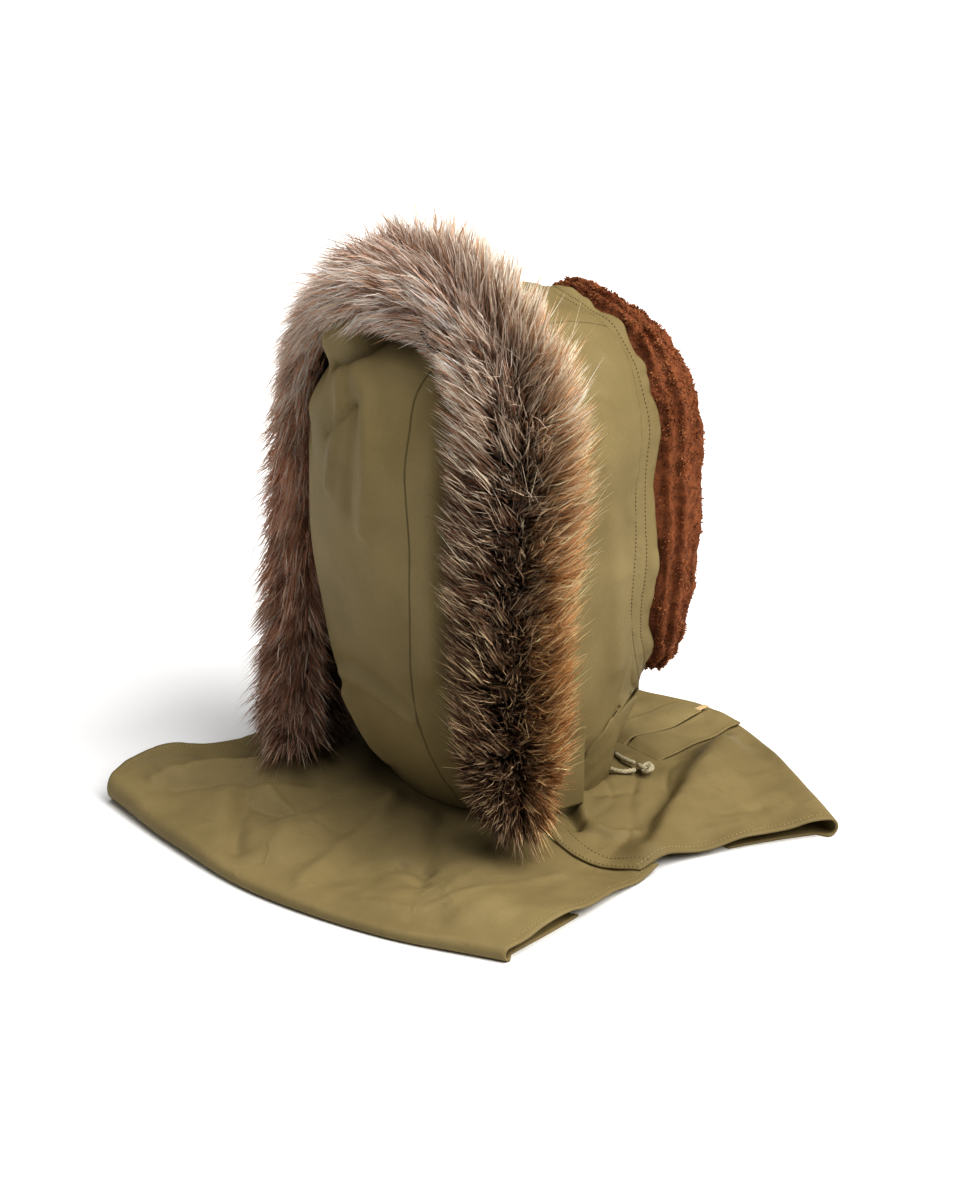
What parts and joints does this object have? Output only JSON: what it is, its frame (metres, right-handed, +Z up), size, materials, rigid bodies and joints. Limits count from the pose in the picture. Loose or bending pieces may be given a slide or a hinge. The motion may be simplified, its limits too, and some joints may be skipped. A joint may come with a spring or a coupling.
{
  "type": "detachable hood",
  "caption": "Detachable cloth hood with a shearling face roll, a long-haired fur ruff over the crown and a wide cape that lies flat round the neck.",
  "frame": {"origin": "under the middle of the whole part's box, on the surface that the cape lies on", "axes": "+Z up, the face opening looks along -Y, +X towards the wearer's left"},
  "size_m": [0.428, 0.4786, 0.4424],
  "materials": {
    "olive_cotton": "olive cotton satin with a soft sheen, tone-on-tone stitching",
    "shearling": "short curly pile, rust brown with an orange rim",
    "long_fur": "long guard hairs with pale tips over dark brown underfur",
    "grey_cord": "matte twisted cotton cord, grey-beige",
    "beige_tape": "matte woven tape"
  },
  "bodies": {
    "root": {"hood_shell": "olive_cotton", "throat_panel": "olive_cotton", "face_band": "olive_cotton", "face_roll": "shearling", "ruff_backing": "olive_cotton", "ruff_fur": "long_fur", "side_flap_right": "olive_cotton", "side_flap_left": "olive_cotton", "back_cape": "olive_cotton", "front_cape": "olive_cotton", "placket_strip": "olive_cotton", "placket_underlap": "olive_cotton", "tape_end": "beige_tape", "cord_eyelet_right": "olive_cotton", "drawcord_right": "grey_cord", "drawcord_knot_right": "grey_cord", "drawcord_tail_right": "grey_cord", "cord_eyelet_left": "olive_cotton", "drawcord_left": "grey_cord", "drawcord_knot_left": "grey_cord", "drawcord_tail_left": "grey_cord"}
  },
  "joints": []
}
